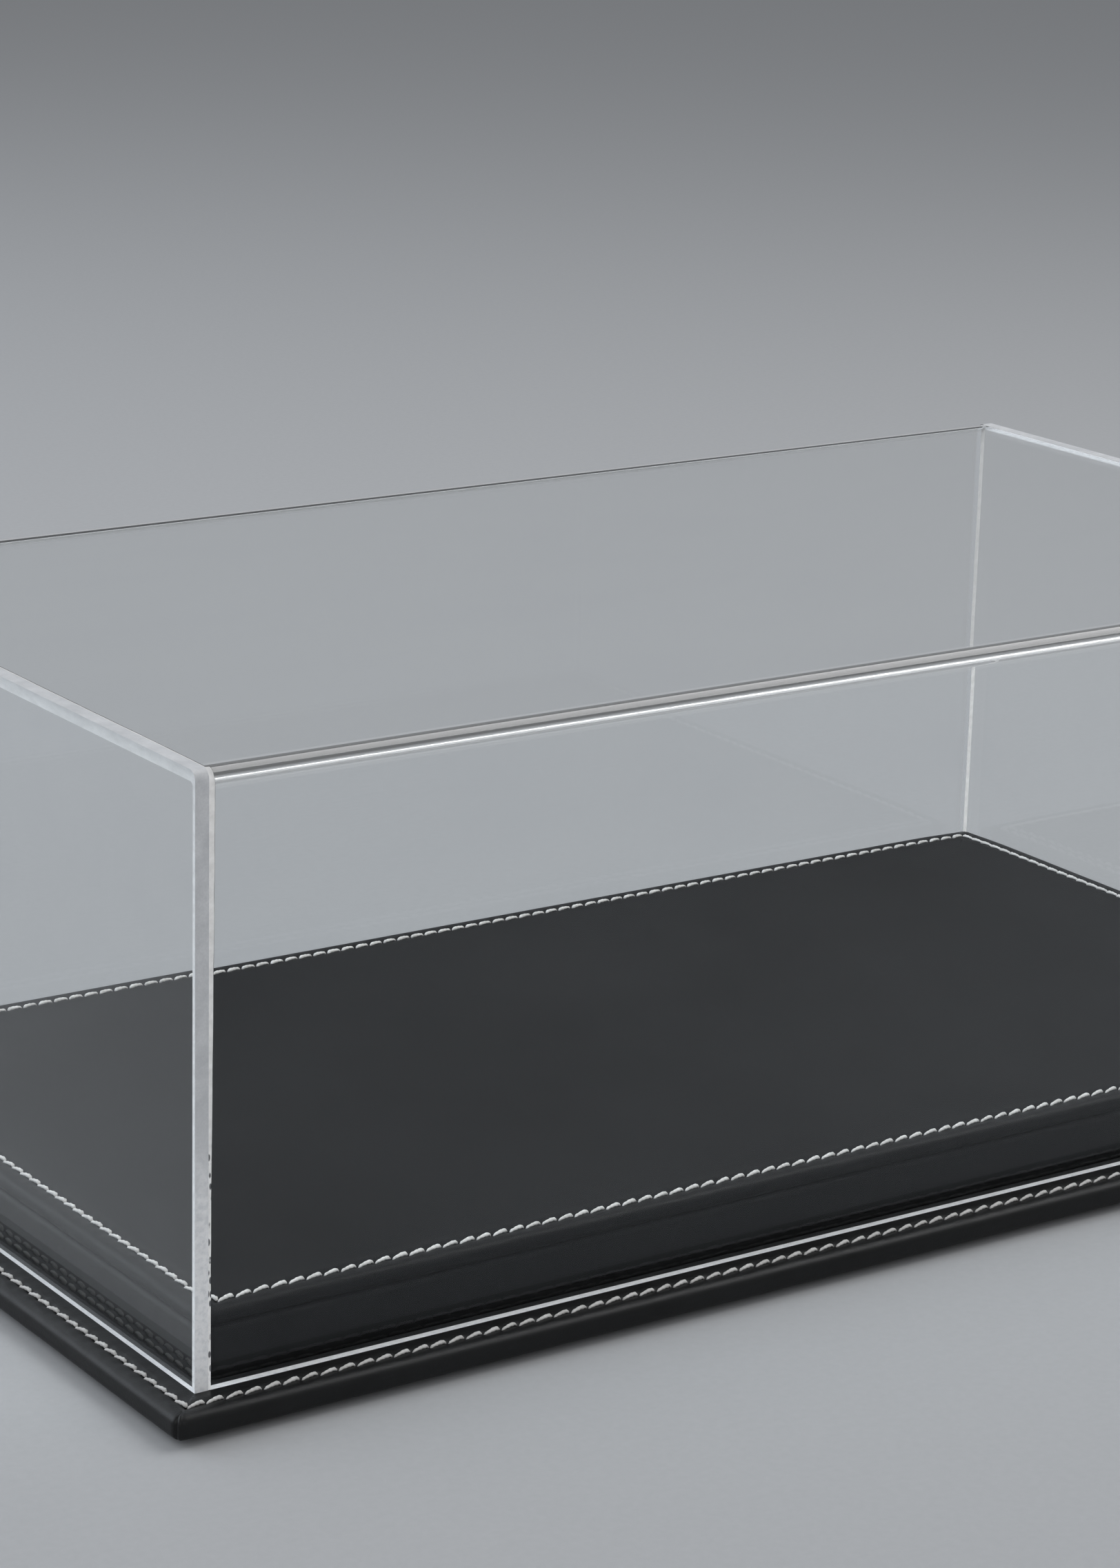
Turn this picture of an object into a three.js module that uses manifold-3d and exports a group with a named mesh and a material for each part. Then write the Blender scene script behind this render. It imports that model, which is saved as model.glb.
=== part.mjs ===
// Display case: a clear acrylic cover that lifts off a two-step base, whose boards are wrapped in
// black leatherette and sewn with white thread.
// Millimetres, +Z up. The origin is on the table, under the middle of the base, and -Y is the front.
import * as THREE from 'three';
import { mergeVertices } from 'three/addons/utils/BufferGeometryUtils.js';
import Module from 'manifold-3d';

const wasm = await Module();
wasm.setup();

// Clear cover: a bent sheet for front, top and back, with a flat panel cemented over each end.
const coverLength = 348;
const coverWidth = 190;
const coverHeight = 125;
const sheetThickness = 3;
const bendOuterRadius = 3;
const bendInnerRadius = 1;
const endCornerRadius = 2;
const bendSteps = 6;

// Leatherette, and the glue line that it keeps to the boards at their edges.
const leatherThickness = 0.6;
const glueGap = 0.3;
const cornerSteps = 3;
const edgeSteps = 2;

// Base board and its wrap. The ledge is what shows outside the cover.
const ledgeWidth = 9;
const baseBoardThickness = 4;
const baseCornerRadius = 2.8;
const baseEdgeRadius = 1.8;
const baseHemWidth = 14;

// Lining under the base, and its four pads.
const liningThickness = 0.4;
const liningInset = 5;
const liningCornerRadius = 4;
const footDiameter = 12;
const footHeight = 1;
const footChamfer = 0.25;
const footInset = 20;
const footSides = 20;

// Plinth: a block with its side wrap, under a flat panel with a wrap of its own.
const coverClearance = 2;
const blockHeight = 10.4;
const plinthCornerRadius = 2.6;
const blockEdgeRadius = 1.4;
const blockHemWidth = 12;
const panelBoardThickness = 2;
const panelPaddingThickness = 0.5;
const panelEdgeRadius = 1.6;
const panelHemWidth = 12;

// Sewn rows: a thread that rises over each stitch and dips between two, in a shallow channel.
const stitchPitch = 4.1;
const threadWidth = 0.8;
const threadRise = 0.55;
const threadDip = 0.15;
const knotSize = 1.2;
const knotHeight = 0.3;
const knotLift = 0.05;
const knotReach = 0.45;
const baseSeamInset = 4.7;
const panelSeamInset = 4.6;
const seamWidth = 1.8;
const seamDepth = 0.25;

// Countersunk screws that hold the block to the base board.
const screwDiameter = 3.5;
const screwHeadDiameter = 7;
const screwHeadHeight = 2;
const screwLength = 12;
const screwPointLength = 2;
const screwClearance = 0.3;
const screwInset = 26;
const screwColumns = 3;
const screwRows = 2;
const screwSides = 12;
const recessWidth = 0.8;
const recessLength = 3.6;
const recessDepth = 1.2;

// How far a cutting shape runs past the face that it cuts.
const overrun = 1;

// Heights of the faces, from the table up.
const liningZ = footHeight;
const hemZ = liningZ + liningThickness;
const baseBoardZ = hemZ + leatherThickness;
const ledgeZ = baseBoardZ + baseBoardThickness + leatherThickness;
const panelZ = ledgeZ + blockHeight + leatherThickness;
const panelBoardZ = panelZ + leatherThickness;
const paddingZ = panelBoardZ + panelBoardThickness;
const panelTopZ = paddingZ + panelPaddingThickness + leatherThickness;

// Plans, each as length and width.
const basePlan = [coverLength + 2 * ledgeWidth, coverWidth + 2 * ledgeWidth];
const plinthInset = sheetThickness + coverClearance;
const plinthPlan = [coverLength - 2 * plinthInset, coverWidth - 2 * plinthInset];
const inset = (plan, distance) => plan.map((size) => size - 2 * distance);

const materials = {
  acrylic: { color: 0xe4e8ea, roughness: 0.04, metalness: 0, transparent: true, opacity: 0.25 },
  leatherette: { color: 0x1d1d20, roughness: 0.55, metalness: 0 },
  thread: { color: 0xdcdad4, roughness: 0.75, metalness: 0 },
  fibreboard: { color: 0x8d6f4e, roughness: 0.85, metalness: 0 },
  padding: { color: 0x3a3a3c, roughness: 0.95, metalness: 0 },
  lining: { color: 0x18181a, roughness: 0.95, metalness: 0 },
  rubber: { color: 0x101011, roughness: 0.8, metalness: 0 },
  steel: { color: 0xb9bcc0, roughness: 0.35, metalness: 1 },
};

const group = new THREE.Group();

function addMesh(name, geometry, materialName, z = 0) {
  const mesh = new THREE.Mesh(geometry, new THREE.MeshStandardMaterial(materials[materialName]));
  mesh.name = name;
  mesh.position.z = z;
  group.add(mesh);
  return mesh;
}

// Cutting and joining of closed meshes.
function toSolid(geometry) {
  const bare = geometry.clone();
  bare.deleteAttribute('normal');
  bare.deleteAttribute('uv');
  const merged = mergeVertices(bare);
  const vertProperties = new Float32Array(merged.attributes.position.array);
  const triVerts = new Uint32Array(merged.index.array);
  return new wasm.Manifold(new wasm.Mesh({ numProp: 3, vertProperties, triVerts }));
}

function toGeometry(solid) {
  const mesh = solid.getMesh();
  const geometry = new THREE.BufferGeometry();
  geometry.setAttribute('position', new THREE.BufferAttribute(mesh.vertProperties, mesh.numProp));
  geometry.setIndex(new THREE.BufferAttribute(mesh.triVerts, 1));
  geometry.computeVertexNormals();
  return geometry;
}

function roundedRectangle([length, width], radius) {
  const x = length / 2 - radius;
  const y = width / 2 - radius;
  const shape = new THREE.Shape();
  shape.absarc(x, y, radius, 0, Math.PI / 2);
  shape.absarc(-x, y, radius, Math.PI / 2, Math.PI);
  shape.absarc(-x, -y, radius, Math.PI, 1.5 * Math.PI);
  shape.absarc(x, -y, radius, 1.5 * Math.PI, 2 * Math.PI);
  shape.closePath();
  return shape;
}

// A flat slab with its underside at z and square edges.
function squareSlab(plan, height, cornerRadius, z) {
  const geometry = new THREE.ExtrudeGeometry(roundedRectangle(plan, cornerRadius), {
    depth: height,
    bevelEnabled: false,
    curveSegments: cornerSteps,
  });
  return toSolid(geometry.translate(0, 0, z));
}

// The same slab with its upper and lower edges rounded.
function roundedSlab(plan, height, cornerRadius, edgeRadius, z) {
  const geometry = new THREE.ExtrudeGeometry(roundedRectangle(plan, cornerRadius), {
    depth: height - 2 * edgeRadius,
    bevelSize: edgeRadius,
    bevelThickness: edgeRadius,
    bevelOffset: -edgeRadius,
    bevelSegments: edgeSteps,
    curveSegments: cornerSteps,
  });
  return toSolid(geometry.translate(0, 0, z + edgeRadius));
}

// The same slab again, rounded along its upper edge alone.
function roundedTopSlab(plan, height, cornerRadius, edgeRadius, z) {
  const foot = squareSlab(plan, height - edgeRadius, cornerRadius, z);
  return roundedSlab(plan, height, cornerRadius, edgeRadius, z).add(foot);
}

// The screws stand head down: each is placed by its middle line.
function screwPlaces() {
  const [length, width] = inset(plinthPlan, screwInset);
  const places = [];
  for (let column = 0; column < screwColumns; column += 1) {
    for (let row = 0; row < screwRows; row += 1) {
      const x = length * (column / (screwColumns - 1) - 1 / 2);
      const y = width * (row / (screwRows - 1) - 1 / 2);
      places.push([x, y]);
    }
  }
  return places;
}

function turned(points, sides) {
  const outline = points.map(([radius, z]) => new THREE.Vector2(radius, z));
  return new THREE.LatheGeometry(outline, sides).rotateX(Math.PI / 2);
}

// A screw's outline, grown by a clearance for the hole that takes it.
function screwOutline(grow) {
  const shank = screwDiameter / 2 + grow;
  const tip = screwLength + grow;
  return [
    [0, 0],
    [screwHeadDiameter / 2 + grow, 0],
    [shank, screwHeadHeight + grow],
    [shank, tip - screwPointLength],
    [0, tip],
  ];
}

function screwHoles() {
  const outline = screwOutline(screwClearance);
  const head = outline[1][0];
  const hole = [[0, -overrun], [head, -overrun], ...outline.slice(1)];
  const tool = toSolid(turned(hole, screwSides));
  return screwPlaces().map(([x, y]) => tool.translate([x, y, baseBoardZ]));
}

function drill(solid) {
  return screwHoles().reduce((rest, hole) => rest.subtract(hole), solid);
}

// A ring of the seam's width along a row of stitches, for its channel.
function seamRing(plan, seamInset, faceZ) {
  const outer = inset(plan, seamInset - seamWidth / 2);
  const inner = inset(plan, seamInset + seamWidth / 2);
  const radius = (seamWidth - threadWidth) / 2;
  const bottom = faceZ - seamDepth;
  const ring = squareSlab(outer, seamDepth + overrun, radius, bottom);
  return ring.subtract(squareSlab(inner, seamDepth + 2 * overrun, radius, bottom - overrun));
}

// A wrap of leatherette: a skin round a board, turned in under a hem that leaves a window.
function wrap(outside, board, window) {
  return outside.subtract(board).subtract(window);
}

// One row of a seam, seen from its side: a chain of humps from end to end.
function sewnRow(length) {
  const count = Math.round(length / stitchPitch);
  const shape = new THREE.Shape();
  shape.moveTo(-length / 2, 0);
  shape.lineTo(length / 2, 0);
  for (let i = count; i > 0; i -= 1) {
    shape.lineTo(length * (i / count - 1 / 2), threadDip);
    shape.lineTo(length * ((i - 1 / 2) / count - 1 / 2), threadRise);
  }
  shape.lineTo(-length / 2, threadDip);
  const row = new THREE.ExtrudeGeometry(shape, { depth: threadWidth, bevelEnabled: false });
  return toSolid(row.translate(0, 0, -threadWidth / 2).rotateX(Math.PI / 2));
}

// The four rows of a seam are tied to a knot at each corner.
function seamThread(plan, seamInset, faceZ) {
  const [length, width] = inset(plan, seamInset);
  const along = sewnRow(length - 2 * knotReach);
  const across = sewnRow(width - 2 * knotReach).rotate([0, 0, 90]);
  const knot = toSolid(new THREE.BoxGeometry(knotSize, knotSize, knotHeight))
    .translate([0, 0, knotLift + knotHeight / 2]);
  const sides = [-1, 1];
  const rows = sides.flatMap((side) => [
    along.translate([0, (side * width) / 2, 0]),
    across.translate([(side * length) / 2, 0, 0]),
  ]);
  const knots = sides.flatMap((x) => sides.map((y) => (
    knot.translate([(x * length) / 2, (y * width) / 2, 0])
  )));
  const thread = [...rows, ...knots].reduce((sum, piece) => sum.add(piece));
  return toGeometry(thread.translate([0, 0, faceZ - seamDepth]));
}

// Cover
function coverOutline(outerRadius) {
  const side = coverWidth / 2;
  const bend = side - outerRadius;
  const bendZ = coverHeight - outerRadius;
  const shape = new THREE.Shape();
  shape.moveTo(side, 0);
  shape.lineTo(side, bendZ);
  shape.absarc(bend, bendZ, outerRadius, 0, Math.PI / 2);
  shape.absarc(-bend, bendZ, outerRadius, Math.PI / 2, Math.PI);
  shape.lineTo(-side, 0);
  return shape;
}

function coverSheetOutline() {
  const shape = coverOutline(bendOuterRadius);
  const side = coverWidth / 2 - sheetThickness;
  const bend = side - bendInnerRadius;
  const bendZ = coverHeight - sheetThickness - bendInnerRadius;
  shape.lineTo(-side, 0);
  shape.lineTo(-side, bendZ);
  shape.absarc(-bend, bendZ, bendInnerRadius, Math.PI, Math.PI / 2, true);
  shape.absarc(bend, bendZ, bendInnerRadius, Math.PI / 2, 0, true);
  shape.lineTo(side, 0);
  return shape;
}

// Extrudes an outline of the cover's cross-section along X, standing on the ledge.
function alongX(shape, length) {
  const settings = { depth: length, bevelEnabled: false, curveSegments: bendSteps };
  const geometry = new THREE.ExtrudeGeometry(shape, settings);
  return geometry.rotateX(Math.PI / 2).rotateZ(Math.PI / 2).translate(-length / 2, 0, 0);
}

function makeCover() {
  const sheetLength = coverLength - 2 * sheetThickness;
  const endX = (coverLength - sheetThickness) / 2;
  addMesh('cover_sheet', alongX(coverSheetOutline(), sheetLength), 'acrylic', ledgeZ);
  const end = alongX(coverOutline(endCornerRadius), sheetThickness);
  addMesh('cover_end_left', end.clone(), 'acrylic', ledgeZ).position.x = -endX;
  addMesh('cover_end_right', end, 'acrylic', ledgeZ).position.x = endX;
}

// Base
function makeBase() {
  const skin = leatherThickness + glueGap;
  const boardEdge = baseEdgeRadius - leatherThickness;
  const boardAt = (distance) => roundedSlab(
    inset(basePlan, distance),
    baseBoardThickness,
    baseCornerRadius - distance,
    boardEdge,
    baseBoardZ,
  );
  const thickness = baseBoardThickness + 2 * leatherThickness;
  const outside = roundedSlab(basePlan, thickness, baseCornerRadius, baseEdgeRadius, hemZ);
  const windowPlan = inset(basePlan, baseHemWidth);
  const window = squareSlab(windowPlan, overrun + leatherThickness, baseCornerRadius, hemZ - overrun);
  const leather = wrap(outside, boardAt(leatherThickness), window)
    .subtract(seamRing(basePlan, baseSeamInset, ledgeZ));
  addMesh('base_board', toGeometry(drill(boardAt(skin))), 'fibreboard');
  addMesh('base_leather', toGeometry(drill(leather)), 'leatherette');
  addMesh('base_stitching', seamThread(basePlan, baseSeamInset, ledgeZ), 'thread');
}

function makeLining() {
  const sheet = squareSlab(inset(basePlan, liningInset), liningThickness, liningCornerRadius, liningZ);
  const raisedPlan = inset(basePlan, baseHemWidth + glueGap);
  const raisedHeight = liningThickness + leatherThickness;
  const raised = squareSlab(raisedPlan, raisedHeight, baseCornerRadius, liningZ);
  addMesh('base_lining', toGeometry(sheet.add(raised)), 'lining');
}

function makeFeet() {
  const radius = footDiameter / 2;
  const outline = [
    [0, 0],
    [radius - footChamfer, 0],
    [radius, footChamfer],
    [radius, footHeight],
    [0, footHeight],
  ];
  const [length, width] = inset(basePlan, footInset);
  const places = { front_left: [-1, -1], front_right: [1, -1], rear_left: [-1, 1], rear_right: [1, 1] };
  Object.entries(places).forEach(([name, [x, y]]) => {
    const foot = addMesh(`foot_${name}`, turned(outline, footSides), 'rubber');
    foot.position.set((x * length) / 2, (y * width) / 2, 0);
  });
}

// Plinth
function makeBlock() {
  const skin = leatherThickness + glueGap;
  const coreEdge = blockEdgeRadius - leatherThickness;
  const coreAt = (distance) => roundedTopSlab(
    inset(plinthPlan, distance),
    blockHeight,
    plinthCornerRadius - distance,
    coreEdge,
    ledgeZ,
  );
  const height = blockHeight + leatherThickness;
  const outside = roundedTopSlab(plinthPlan, height, plinthCornerRadius, blockEdgeRadius, ledgeZ);
  const windowPlan = inset(plinthPlan, blockHemWidth);
  const windowHeight = leatherThickness + overrun;
  const window = squareSlab(windowPlan, windowHeight, plinthCornerRadius, ledgeZ + blockHeight);
  const core = drill(coreAt(skin));
  addMesh('plinth_block', toGeometry(core), 'fibreboard');
  addMesh('plinth_side_leather', toGeometry(wrap(outside, coreAt(leatherThickness), window)), 'leatherette');
}

function makePanel() {
  const skin = leatherThickness + glueGap;
  const coreHeight = panelBoardThickness + panelPaddingThickness;
  const coreEdge = panelEdgeRadius - leatherThickness;
  const coreAt = (distance) => roundedSlab(
    inset(plinthPlan, distance),
    coreHeight,
    plinthCornerRadius - distance,
    coreEdge,
    panelBoardZ,
  );
  const height = coreHeight + 2 * leatherThickness;
  const outside = roundedSlab(plinthPlan, height, plinthCornerRadius, panelEdgeRadius, panelZ);
  const windowPlan = inset(plinthPlan, panelHemWidth);
  const windowHeight = leatherThickness + overrun;
  const window = squareSlab(windowPlan, windowHeight, plinthCornerRadius, panelZ - overrun);
  const leather = wrap(outside, coreAt(leatherThickness), window)
    .subtract(seamRing(plinthPlan, panelSeamInset, panelTopZ));
  const aboveBoard = squareSlab(plinthPlan, coreHeight, plinthCornerRadius, paddingZ);
  addMesh('panel_board', toGeometry(coreAt(skin).subtract(aboveBoard)), 'fibreboard');
  addMesh('panel_padding', toGeometry(coreAt(skin).intersect(aboveBoard)), 'padding');
  addMesh('panel_leather', toGeometry(leather), 'leatherette');
  addMesh('panel_stitching', seamThread(plinthPlan, panelSeamInset, panelTopZ), 'thread');
}

function makeScrews() {
  const body = toSolid(turned(screwOutline(0), screwSides));
  const slot = new THREE.BoxGeometry(recessLength, recessWidth, 2 * recessDepth);
  const cross = toSolid(slot).add(toSolid(slot.clone().rotateZ(Math.PI / 2)));
  const screw = toGeometry(body.subtract(cross));
  screwPlaces().forEach(([x, y], index) => {
    const mesh = addMesh(`plinth_screw_${index + 1}`, screw.clone(), 'steel', baseBoardZ);
    mesh.position.x = x;
    mesh.position.y = y;
  });
}

makeCover();
makeBase();
makeLining();
makeFeet();
makeBlock();
makePanel();
makeScrews();

export default group;
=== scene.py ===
"""Display case: a clear lift-off cover on a two-step base in stitched leatherette."""

import math
import random

import bmesh
import bpy
import numpy as np
from mathutils import Matrix, Vector, noise


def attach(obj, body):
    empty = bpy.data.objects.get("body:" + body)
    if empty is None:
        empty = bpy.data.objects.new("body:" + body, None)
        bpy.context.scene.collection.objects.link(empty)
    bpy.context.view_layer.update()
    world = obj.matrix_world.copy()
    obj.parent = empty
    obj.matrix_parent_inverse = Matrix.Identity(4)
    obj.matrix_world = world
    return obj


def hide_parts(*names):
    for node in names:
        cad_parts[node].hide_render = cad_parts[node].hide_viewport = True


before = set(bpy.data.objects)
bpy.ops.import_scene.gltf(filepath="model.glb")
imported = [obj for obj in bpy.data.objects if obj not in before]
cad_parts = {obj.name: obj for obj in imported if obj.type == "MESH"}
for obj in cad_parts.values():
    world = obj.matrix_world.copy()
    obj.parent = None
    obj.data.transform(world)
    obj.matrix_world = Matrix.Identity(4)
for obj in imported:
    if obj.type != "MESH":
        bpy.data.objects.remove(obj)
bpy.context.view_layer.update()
MM = 0.001

# Sizes in millimetres. X and Y are half sizes from the middle of the case, Z and TOP heights.
COVER_X, COVER_Y, COVER_H = 174.0, 95.0, 125.0
SHEET = 3.0
BEND, INNER_BEND, END_CORNER = 3.0, 1.0, 2.0
BEND_STEPS, CORNER_STEPS = 24, 16
FOOT_CLEARANCE = 0.05  # between the cover's sawn feet and the ledge
FILM_GAP = 0.015  # between a cement film and each sheet that it joins
FILM_TILT = 1.4  # how much the film's shading leans upwards
JOINT_FOOT, JOINT_GROWTH, JOINT_BACK, JOINT_TOP = 0.35, 0.85, 1.0, 0.28  # widths of the cement
LEATHER = 0.6  # thickness of the wraps

FOOT_H = 1.0
HEM_Z, LEDGE_Z = 1.4, 6.6
BASE_X, BASE_Y, BASE_R, BASE_EDGE = 183.0, 104.0, 2.8, 1.8
PLINTH_X, PLINTH_Y, PLINTH_R = 169.0, 90.0, 2.6
BLOCK_TOP, BLOCK_EDGE = 17.6, 1.4
PANEL_Z, PANEL_TOP, PANEL_EDGE = 17.6, 21.3, 1.6
PANEL_BOARD = 2.0
BASE_HEM, PLINTH_HEM, HEM_GAP = 14.0, 12.0, 0.3
LINING_INSET, LINING_R, LINING_FRAY = 5.0, 4.0, 0.12
CORNER_DROP, DROP_REACH, DROP_START = 0.42, 11.0, 1.2
BASE_TUCK, SIDE_TUCK, PANEL_TUCK, PANEL_SINK = 0.12, 0.14, 0.10, 0.02  # how far the leather draws in
GLUED_HEIGHT = 2.0  # of the side wrap, above the ledge
ARC_STEPS, INNER_ARC_STEPS = 8, 4

# Seams: inset from the edge, and stitch spacing along the long and the short side.
BASE_SEAM, PANEL_SEAM = 4.7, 4.6
BASE_PITCH, PANEL_PITCH = (4.245, 4.085), (4.005, 3.88)
SEAM_REACH = 9.0
CHANNEL_WIDTH, HOLE_LENGTH, HOLE_WIDTH = 0.95, 0.5, 0.42
PUCKER_FADE = 1.9
SWELL_SHARE, SWELL_PLACE, SWELL_WIDTH = 1.2, 2.0, 1.1

# Thread: two plies, laid as single stitches that slant across the seam.
THREAD_RADIUS, PLY_TWIST, PLY_DEPTH = 0.44, 2.1, 0.17
STITCH_RINGS, STITCH_AROUND = 13, 10
STITCH_GAP, STITCH_SLANT = 0.38, 9
THICKNESS_SHARES = (0.93, 1.07)
RISE_JITTER, LENGTH_JITTER, SLANT_JITTER, PLACE_JITTER = 0.03, 0.06, 2.5, 0.05

WELD, FINE_WELD = 0.004, 0.0005
TINY = 1e-6


# Materials
ACRYLIC_IOR = 1.49


class Nodes:
    """A material's node tree, with one call for each node.

    Texture sizes and bump depths are in millimetres.
    """

    MIX_FACTOR, MIX_A, MIX_B, MIX_RESULT = 0, 6, 7, 2

    def __init__(self, name):
        self.mat = bpy.data.materials.new(name)
        self.mat.use_nodes = True
        self.tree = self.mat.node_tree
        self.bsdf = self.tree.nodes["Principled BSDF"]
        self.out = self.tree.nodes["Material Output"]
        self.place = self.add("ShaderNodeTexCoord").outputs["Object"]

    def feed(self, socket, value):
        """Links a node's output to the socket, or writes a plain value into it."""
        if isinstance(value, bpy.types.NodeSocket):
            self.tree.links.new(value, socket)
        else:
            socket.default_value = value

    def add(self, kind, inputs=None, **settings):
        node = self.tree.nodes.new(kind)
        for key, value in settings.items():
            setattr(node, key, value)
        for key, value in (inputs or {}).items():
            self.feed(node.inputs[key], value)
        return node

    def stretched(self, scale):
        return self.add("ShaderNodeMapping", {"Vector": self.place, "Scale": scale}).outputs["Vector"]

    def axis(self, number):
        """The point's own x, y or z, in metres."""
        return self.add("ShaderNodeSeparateXYZ", {0: self.place}).outputs[number]

    def noise(self, size, detail=3.0, rough=0.55, place=None):
        given = {"Vector": place or self.place, "Scale": 1 / (size * MM), "Detail": detail,
                 "Roughness": rough}
        return self.add("ShaderNodeTexNoise", given).outputs["Fac"]

    def cells(self, size, feature="F1", place=None):
        given = {"Vector": place or self.place, "Scale": 1 / (size * MM)}
        return self.add("ShaderNodeTexVoronoi", given, feature=feature).outputs["Distance"]

    def spread(self, value, low, high, to_low=0.0, to_high=1.0):
        given = {"Value": value, "From Min": low, "From Max": high, "To Min": to_low, "To Max": to_high}
        return self.add("ShaderNodeMapRange", given).outputs["Result"]

    def math(self, operation, a, b=0.0):
        return self.add("ShaderNodeMath", {0: a, 1: b}, operation=operation).outputs[0]

    def mix(self, fac, a, b):
        given = {self.MIX_FACTOR: fac, self.MIX_A: a, self.MIX_B: b}
        return self.add("ShaderNodeMix", given, data_type="RGBA").outputs[self.MIX_RESULT]

    def bump(self, height, depth, strength, normal=None):
        given = {"Height": height, "Distance": depth * MM, "Strength": strength}
        if normal is not None:
            given["Normal"] = normal
        return self.add("ShaderNodeBump", given).outputs["Normal"]

    def set(self, **values):
        for key, value in values.items():
            self.feed(self.bsdf.inputs[key.replace("_", " ")], value)
        return self.mat


def grey(level, warm=0.0):
    """A grey that leans to red by the share warm, or to blue where that is below zero."""
    return (level * (1 + warm), level, level * (1 - warm), 1.0)


def leatherette(name, dark, light, roughness, grain, shine):
    """Pebbles between fine creases, with a tone and a gloss that wander as on worn leatherette."""
    m = Nodes(name)
    pebbles = m.cells(size=0.62, feature="SMOOTH_F1")
    creases = m.cells(size=1.25, feature="DISTANCE_TO_EDGE")
    fine = m.noise(size=0.35, detail=4.0)
    height = m.math("ADD", m.math("MULTIPLY", pebbles, -0.7), m.spread(creases, 0.0, 0.12, 0.0, 0.5))
    height = m.math("ADD", height, m.math("MULTIPLY", fine, 0.15))
    wide = m.noise(size=45, detail=4.0)
    worn = m.noise(size=6, detail=5.0, rough=0.65)
    tone = m.math("ADD", m.math("MULTIPLY", wide, 0.5), m.math("MULTIPLY", worn, 0.5))
    colour = m.mix(m.spread(tone, 0.35, 0.65), dark, light)
    # Darker along the creases, where the bump lies lowest: painted shade in the recesses.
    colour = m.mix(m.spread(creases, 0.0, 0.05, 0.15, 0.0), colour, grey(0.004))
    gloss = m.math("ADD", worn, m.math("MULTIPLY", fine, 0.12))
    swell = m.bump(m.noise(size=9, detail=2.0), 0.10, 0.5)
    return m.set(Base_Color=colour, Roughness=m.spread(gloss, 0.35, 0.75, *roughness),
                 Normal=m.bump(height, grain, 0.8, swell), Specular_IOR_Level=shine)


def thread_material(name, share):
    """Off-white twisted thread. share scales its colours, and below 1 it paints shade over the whole
    thread.
    """
    m = Nodes(name)
    fibres = m.noise(size=0.16, detail=3.0)
    patches = m.noise(size=3.0, detail=3.0)
    dull, clean, worn = [(share * r, share * g, share * b, 1) for r, g, b in
                         ((0.68, 0.665, 0.64), (0.86, 0.85, 0.825), (0.44, 0.425, 0.40))]
    colour = m.mix(m.spread(patches, 0.35, 0.65), dull, clean)
    colour = m.mix(m.spread(fibres, 0.35, 0.6, 0.35, 0.0), colour, worn)
    return m.set(Base_Color=colour, Roughness=m.spread(fibres, 0.3, 0.7, 0.55, 0.8),
                 Normal=m.bump(fibres, 0.05, 0.7), Sheen_Weight=0.25)


def through_for_lamps(m, tint):
    """Rays from lamps pass straight through, so that what is inside the cover is lit."""
    path = m.add("ShaderNodeLightPath").outputs["Is Shadow Ray"]
    clear = m.add("ShaderNodeBsdfTransparent", {"Color": tint}).outputs[0]
    both = m.add("ShaderNodeMixShader", {0: path, 1: m.bsdf.outputs[0], 2: clear}).outputs[0]
    m.tree.links.new(both, m.out.inputs["Surface"])


def acrylic_material(name, clear, tint, coat=0.0):
    """Polished clear sheet with faint wiping smears. Where clear is below 1, part of it is diffuse
    white, which paints light into the sheet.
    """
    m = Nodes(name)
    haze = m.noise(size=38, detail=5.0, rough=0.6)
    wipes = m.noise(size=14, detail=4.0, place=m.stretched((0.25, 1.0, 1.0)))
    smears = m.math("MULTIPLY", haze, wipes)
    clean, smeared = (0.988, 0.998, 1.0, 1), (0.975, 0.985, 0.99, 1)
    m.set(Base_Color=m.mix(m.spread(smears, 0.22, 0.42), clean, smeared),
          Roughness=m.spread(smears, 0.22, 0.42, 0.0, 0.012), IOR=ACRYLIC_IOR,
          Transmission_Weight=clear, Specular_Tint=tint, Coat_Weight=coat)
    through_for_lamps(m, (0.94, 0.95, 0.955, 1))
    return m.mat


def sawn_edge_material():
    """Whitish sawn edge, greyer and more see-through higher up, mottled and paler near the foot."""
    m = Nodes("sawn_acrylic_edge")
    marks = m.noise(size=0.5, detail=4.0)
    drift = m.noise(size=5, detail=5.0, rough=0.65)
    mottle = m.noise(size=1.2, detail=3.0, rough=0.6)
    wandering = m.math("ADD", m.axis(2), m.spread(drift, 0.3, 0.7, -12 * MM, 12 * MM))
    low = m.spread(wandering, 35 * MM, 60 * MM, 1.0, 0.0)
    shaded, bright, scratch = (0.66, 0.67, 0.685, 1), (0.88, 0.885, 0.895, 1), (0.55, 0.56, 0.58, 1)
    frost, frost_bright = (0.84, 0.85, 0.865, 1), (0.995, 0.995, 1.0, 1)
    upper = m.mix(m.spread(drift, 0.3, 0.7), shaded, bright)
    upper = m.mix(m.spread(marks, 0.35, 0.65, 0.25, 0.0), upper, scratch)
    pale = m.mix(m.spread(mottle, 0.36, 0.56), frost, frost_bright)
    m.set(Base_Color=m.mix(low, upper, pale), Roughness=m.spread(marks, 0.3, 0.7, 0.3, 0.55),
          IOR=ACRYLIC_IOR, Transmission_Weight=m.spread(low, 0.0, 1.0, 0.16, 0.03),
          Normal=m.bump(marks, 0.06, 0.5))
    through_for_lamps(m, (0.75, 0.76, 0.77, 1))
    return m.mat


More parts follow.
